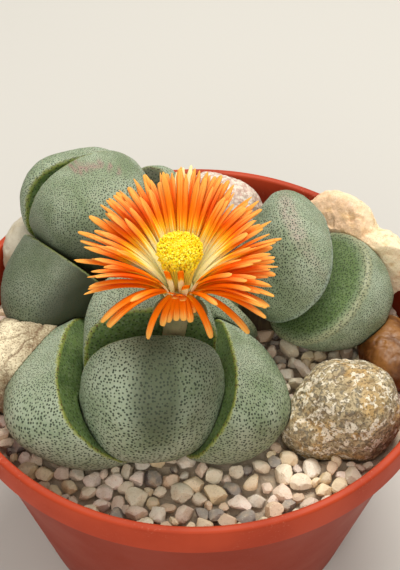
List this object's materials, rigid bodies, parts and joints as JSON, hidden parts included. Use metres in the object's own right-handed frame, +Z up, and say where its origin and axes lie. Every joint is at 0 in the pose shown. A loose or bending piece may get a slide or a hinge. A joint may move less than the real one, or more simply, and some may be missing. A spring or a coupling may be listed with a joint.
{
  "type": "potted split rock succulent",
  "caption": "Split rock succulents with thick dotted leaf pairs and an orange flower, among pebbles and stones in a terracotta-coloured pot.",
  "frame": {"origin": "middle of the pot's underside, where it stands", "axes": "+Z up, -Y towards the picture's camera, with the flowering plant at the front of the pot"},
  "size_m": [0.17, 0.17, 0.1659],
  "materials": {
    "pot_plastic": "moulded terracotta-coloured plastic, satin",
    "leaf_skin": "waxy grey-green skin with dense dark green dots",
    "petal_orange": "silky petals, cream at the base, orange to pale tips",
    "stamen_yellow": "powdery yellow",
    "stalk_skin": "waxy grey-beige skin",
    "root_bark": "rough brown bark",
    "pale_granular_stone": "rough, granular",
    "sandstone": "rough, sandy",
    "brown_stone": "smooth, water-worn",
    "granite": "mottled, rough",
    "beige_stone": "weathered, with brown cracks",
    "cream_stone": "rough, matt",
    "pebble_mix": "mixed small water-worn pebbles",
    "potting_mix": "crumbly gritty soil"
  },
  "bodies": {
    "root": {"pot": "pot_plastic", "flower_petals": "petal_orange", "flower_stamens": "stamen_yellow", "flower_stalk": "stalk_skin", "leaf_a_front": "leaf_skin", "leaf_a_back": "leaf_skin", "leaf_a_left": "leaf_skin", "leaf_a_right": "leaf_skin", "leaf_b_near": "leaf_skin", "leaf_b_far": "leaf_skin", "leaf_b_outer_left": "leaf_skin", "leaf_b_outer_right": "leaf_skin", "leaf_c_upper": "leaf_skin", "leaf_c_lower": "leaf_skin", "leaf_c_outer_near": "leaf_skin", "leaf_c_outer_far": "leaf_skin", "root_a": "root_bark", "root_b": "root_bark", "root_c": "root_bark", "stone_back": "pale_granular_stone", "stone_sand": "sandstone", "stone_brown": "brown_stone", "stone_granite": "granite", "stone_beige": "beige_stone", "stone_cream": "cream_stone", "gravel": "pebble_mix", "soil": "potting_mix"}
  },
  "joints": []
}
